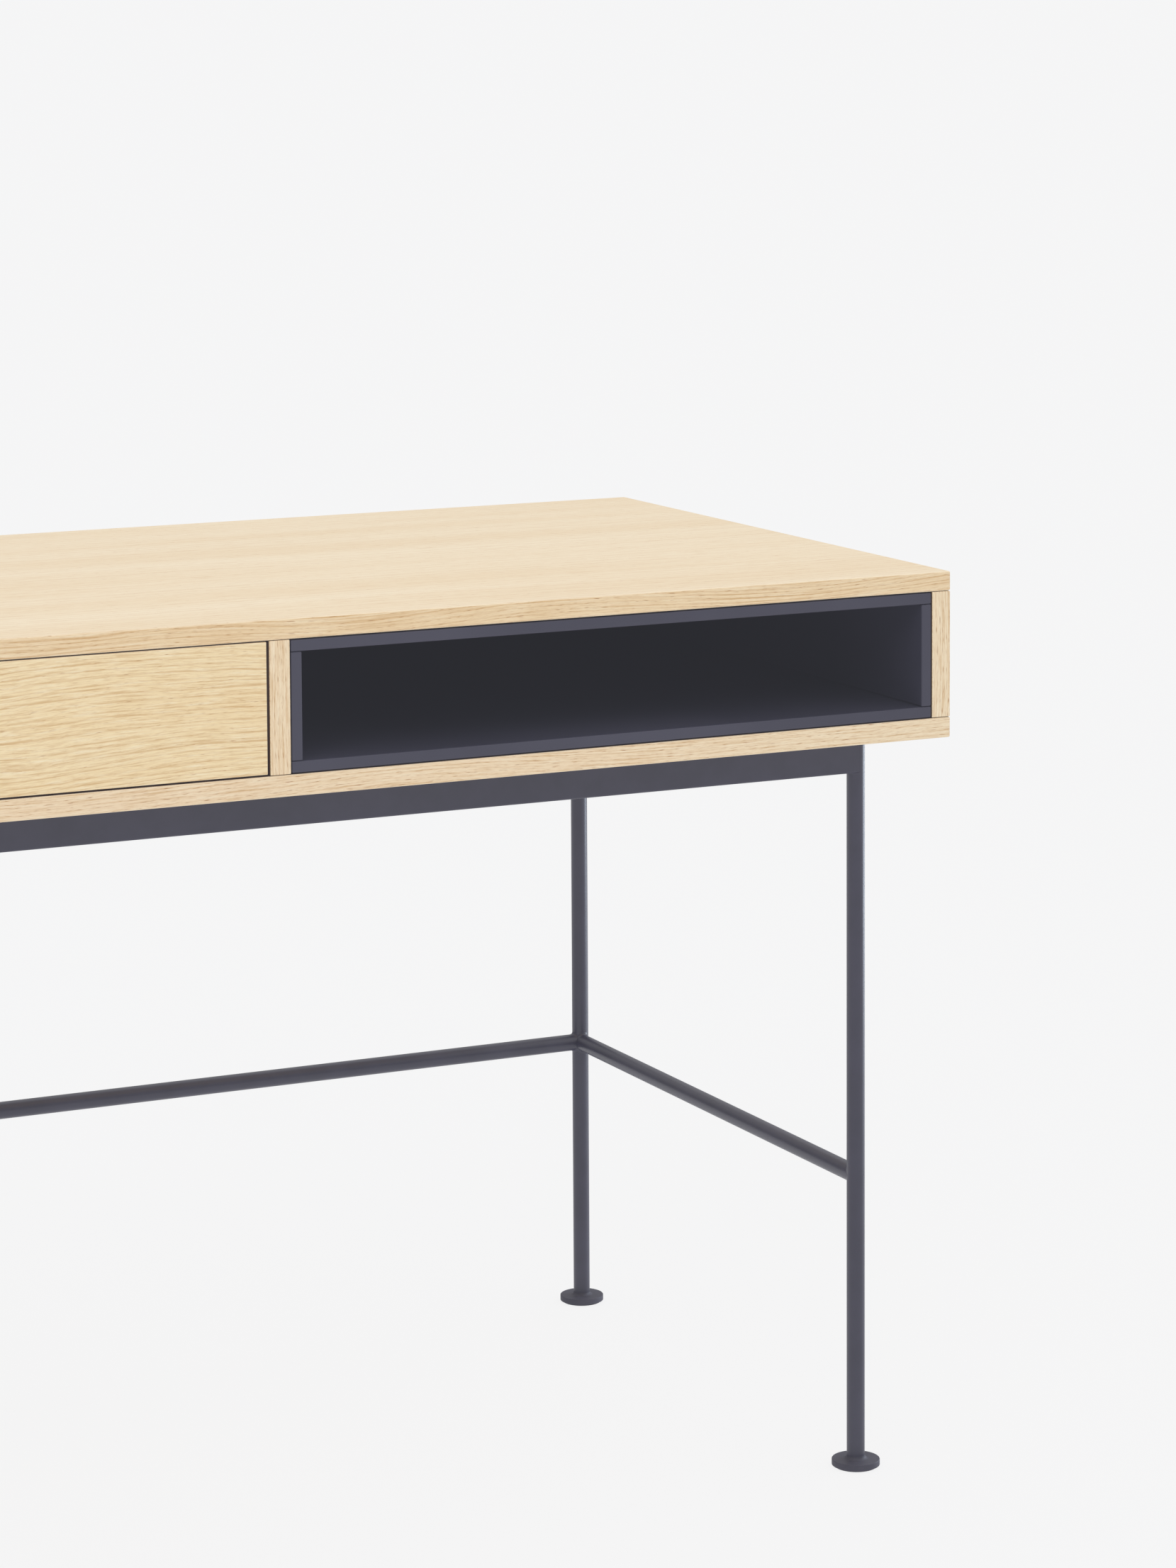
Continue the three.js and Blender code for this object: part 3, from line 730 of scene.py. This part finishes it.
FILLET, LEAST_FILLET = 3.0 * MM, 0.1  # at the crown of the joint, and its share at the sides
ROOT = 0.6 * MM
TURNS = 64
PROFILE = (0, 0.25, 0.5, 0.75, 1)
upward = Vector((0, 0, 1))
for node, pair in stretchers.items():
    ends = [Vector((leg_axis[c].x, leg_axis[c].y, stretcher_z)) for c in pair]
    for corner, here, there in ((pair[0], ends[0], ends[1]), (pair[1], ends[1], ends[0])):
        out = (there - here).normalized()
        aside = out.cross(upward)
        rings = [[] for _ in range(len(PROFILE) + 1)]
        for i in range(TURNS):
            turn = 2 * math.pi * i / TURNS
            rise, lean = math.cos(turn), math.sin(turn)
            size = FILLET * (LEAST_FILLET + (1 - LEAST_FILLET) * abs(rise))
            crease = here + leg_radius * (out * abs(rise) + aside * lean + upward * rise)
            on_leg = crease + upward * math.copysign(size, rise)
            on_tube = crease + out * size
            for ring, share in zip(rings, PROFILE):
                ring.append(on_leg.lerp(crease, share).lerp(crease.lerp(on_tube, share), share))
            rings[-1].append(crease - ROOT * (out + aside * lean + upward * rise))
        weld_fillet(f"{node}_{corner}_weld", rings)

RAIL_FILLET, LEAST_RAIL_FILLET = 1.1 * MM, 0.12
BARE_CORNER, FADE = 0.7, 0.8  # radians from the desk's outer corner: no fillet, then its growth
LAP = 0.2 * MM
rail_low_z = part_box("front_rail")[0].z
for corner, axis in leg_axis.items():
    to_corner = axis.xy.to_3d()
    rings = [[] for _ in range(4)]
    for i in range(TURNS):
        turn = 2 * math.pi * i / TURNS
        round_it = Vector((math.cos(turn), math.sin(turn), 0))
        foot = Vector((axis.x, axis.y, rail_low_z)) + leg_radius * round_it
        grown = (round_it.angle(to_corner) - BARE_CORNER) / FADE
        size = RAIL_FILLET * min(1.0, max(LEAST_RAIL_FILLET, grown))
        rings[0].append(foot - upward * size)
        rings[1].append(foot + (round_it - upward) * (0.3 * size))
        rings[2].append(foot + round_it * (0.2 * size) + upward * LAP)
        rings[3].append(foot - round_it * ROOT + upward * LAP)
    weld_fillet(f"{corner}_rail_weld", rings)

# ---------------------------------------------------------------------------------------------
# Studio: a pale floor that runs to the horizon, white light all round, a soft key light, a cool
# rim light that is flagged off everything but the coated steel, and the camera.
# ---------------------------------------------------------------------------------------------

PAPER = 0.913
FLOOR_REACH = 400.0
floor = Finish("studio_floor", Roughness=0.9, Specular_IOR_Level=0.0)
floor.set(
    Base_Color=(0.075, 0.075, 0.075, 1),
    Emission_Color=(0.846, 0.846, 0.85, 1),
    Emission_Strength=1.0,
)
bm = bmesh.new()
bmesh.ops.create_grid(bm, x_segments=1, y_segments=1, size=FLOOR_REACH)
mesh = bpy.data.meshes.new("floor")
bm.to_mesh(mesh)
bm.free()
mesh.materials.append(floor.material)
ground = bpy.data.objects.new("floor", mesh)
scene.collection.objects.link(ground)
ground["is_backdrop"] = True

SKY_AT_HORIZON, SKY_OVERHEAD, SKY_FROM_RIGHT = 0.24, 0.94, 0.3
world = bpy.data.worlds.new("studio")
scene.world = world
sky = Finish("studio_sky", owner=world, shader="Background", Color=(1, 1, 1, 1))
way = sky.node("ShaderNodeTexCoord", output=0)
height = sky.node("ShaderNodeSeparateXYZ", None, (way,), output=2)
from_right = sky.node("ShaderNodeSeparateXYZ", None, (way,), output=0)
lit = (sky.step(height, 0.1, 0.75, SKY_AT_HORIZON, SKY_OVERHEAD)
       + sky.step(from_right, -0.3, 0.9, 0.0, SKY_FROM_RIGHT))
seen = sky.node("ShaderNodeLightPath")
sky.set(Strength=seen * PAPER + (1.0 - seen) * lit)


def softbox(name, place, target, size, watts, tint=(1, 1, 1)):
    light = bpy.data.lights.new(name, "AREA")
    light.color = tint
    light.shape = "RECTANGLE"
    light.size, light.size_y = size
    light.energy = watts
    lamp = bpy.data.objects.new(name, light)
    scene.collection.objects.link(lamp)
    lamp.location = place
    lamp.rotation_euler = (Vector(target) - Vector(place)).to_track_quat("-Z", "Y").to_euler()
    lamp.visible_camera = False
    return lamp


softbox("key_softbox", place=(-1.5, -2.5, 3.2), target=(0.2, 0, 0.6), size=(2.5, 2.0), watts=22)
rim_softbox = softbox("rim_softbox", place=(2.3, 0.0, 0.5), target=(0.6, 0, 0.3), size=(1.0, 1.0),
                      watts=16, tint=(0.86, 0.98, 1.12))
coated_steel = bpy.data.collections.new("coated_steel")
for piece in scene.objects:
    if piece.type == "MESH" and piece.data.materials[0] in (coat.material, matt_coat.material):
        coated_steel.objects.link(piece)
rim_softbox.light_linking.receiver_collection = coated_steel

CAMERA_PLACE = (-1.1445, -3.4394, 1.2313)
YAW, PITCH, ROLL = math.radians(25.79), math.radians(5.31), math.radians(-0.32)
ahead = Vector((math.sin(YAW) * math.cos(PITCH), math.cos(YAW) * math.cos(PITCH), -math.sin(PITCH)))
level = Vector((math.cos(YAW), -math.sin(YAW), 0))
upright = level.cross(ahead)
right = level * math.cos(ROLL) + upright * math.sin(ROLL)
up = upright * math.cos(ROLL) - level * math.sin(ROLL)
camera = bpy.data.cameras.new("camera")
camera.sensor_width = 36
camera.lens = 103.0
camera.shift_y = -0.2467
camera.clip_end = 1000
view = bpy.data.objects.new("camera", camera)
scene.collection.objects.link(view)
turn = Matrix((right, up, -ahead)).transposed().to_4x4()
view.matrix_world = Matrix.Translation(CAMERA_PLACE) @ turn
scene.camera = view
scene.view_settings.view_transform = "Standard"
scene.view_settings.use_curve_mapping = True
veil = scene.view_settings.curve_mapping
veil.black_level = (-0.0245, -0.0252, -0.0305)
veil.update()

low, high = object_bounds()
